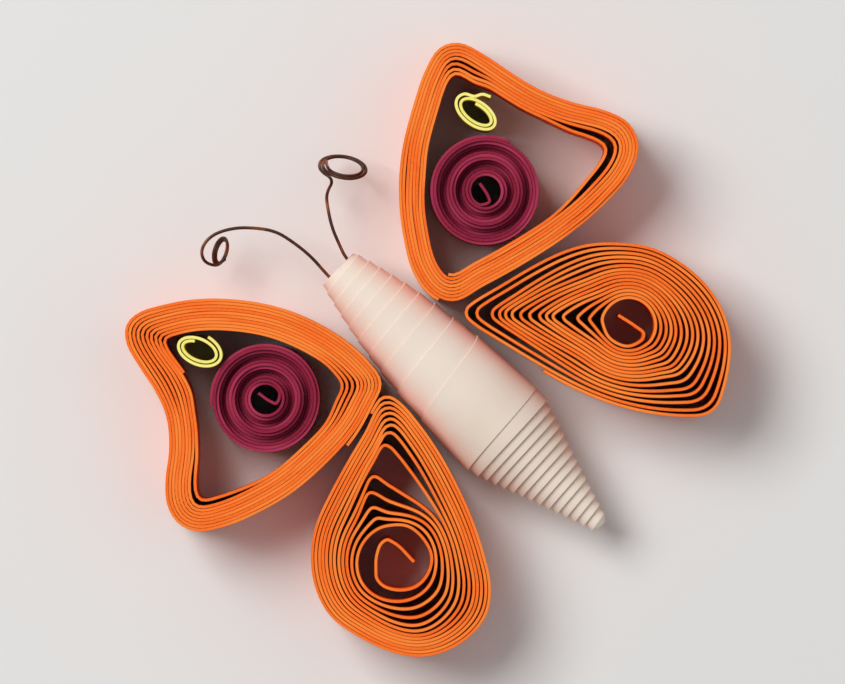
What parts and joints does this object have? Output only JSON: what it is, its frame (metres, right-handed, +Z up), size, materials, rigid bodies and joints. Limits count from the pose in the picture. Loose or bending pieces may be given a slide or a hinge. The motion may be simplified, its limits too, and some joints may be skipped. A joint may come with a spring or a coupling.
{
  "type": "quilled paper butterfly",
  "caption": "Butterfly of rolled paper strips lying on their edges, with ring and teardrop wings, coiled eyespots, a tapered bead body and curled wire antennae.",
  "frame": {"origin": "under the middle of the whole butterfly's outline, on the surface it lies on", "axes": "+Z up from the card, +Y towards the head, +X towards the right wings as seen from above with the head up"},
  "size_m": [0.0292, 0.0236, 0.0052],
  "materials": {
    "cream_paper": "matt cream quilling paper, rolled flat so that its face shows",
    "orange_paper": "matt orange quilling paper standing on its cut edge",
    "magenta_paper": "matt deep magenta quilling paper standing on its cut edge",
    "yellow_paper": "matt lemon yellow quilling paper standing on its cut edge",
    "copper_wire": "thin dark enamelled copper wire, glossy"
  },
  "bodies": {
    "root": {"rolled_body": "cream_paper", "left_forewing": "orange_paper", "right_forewing": "orange_paper", "left_hindwing": "orange_paper", "right_hindwing": "orange_paper", "left_eyespot_coil": "magenta_paper", "right_eyespot_coil": "magenta_paper", "left_loose_coil": "yellow_paper", "right_loose_coil": "yellow_paper", "left_antenna": "copper_wire", "right_antenna": "copper_wire"}
  },
  "joints": []
}
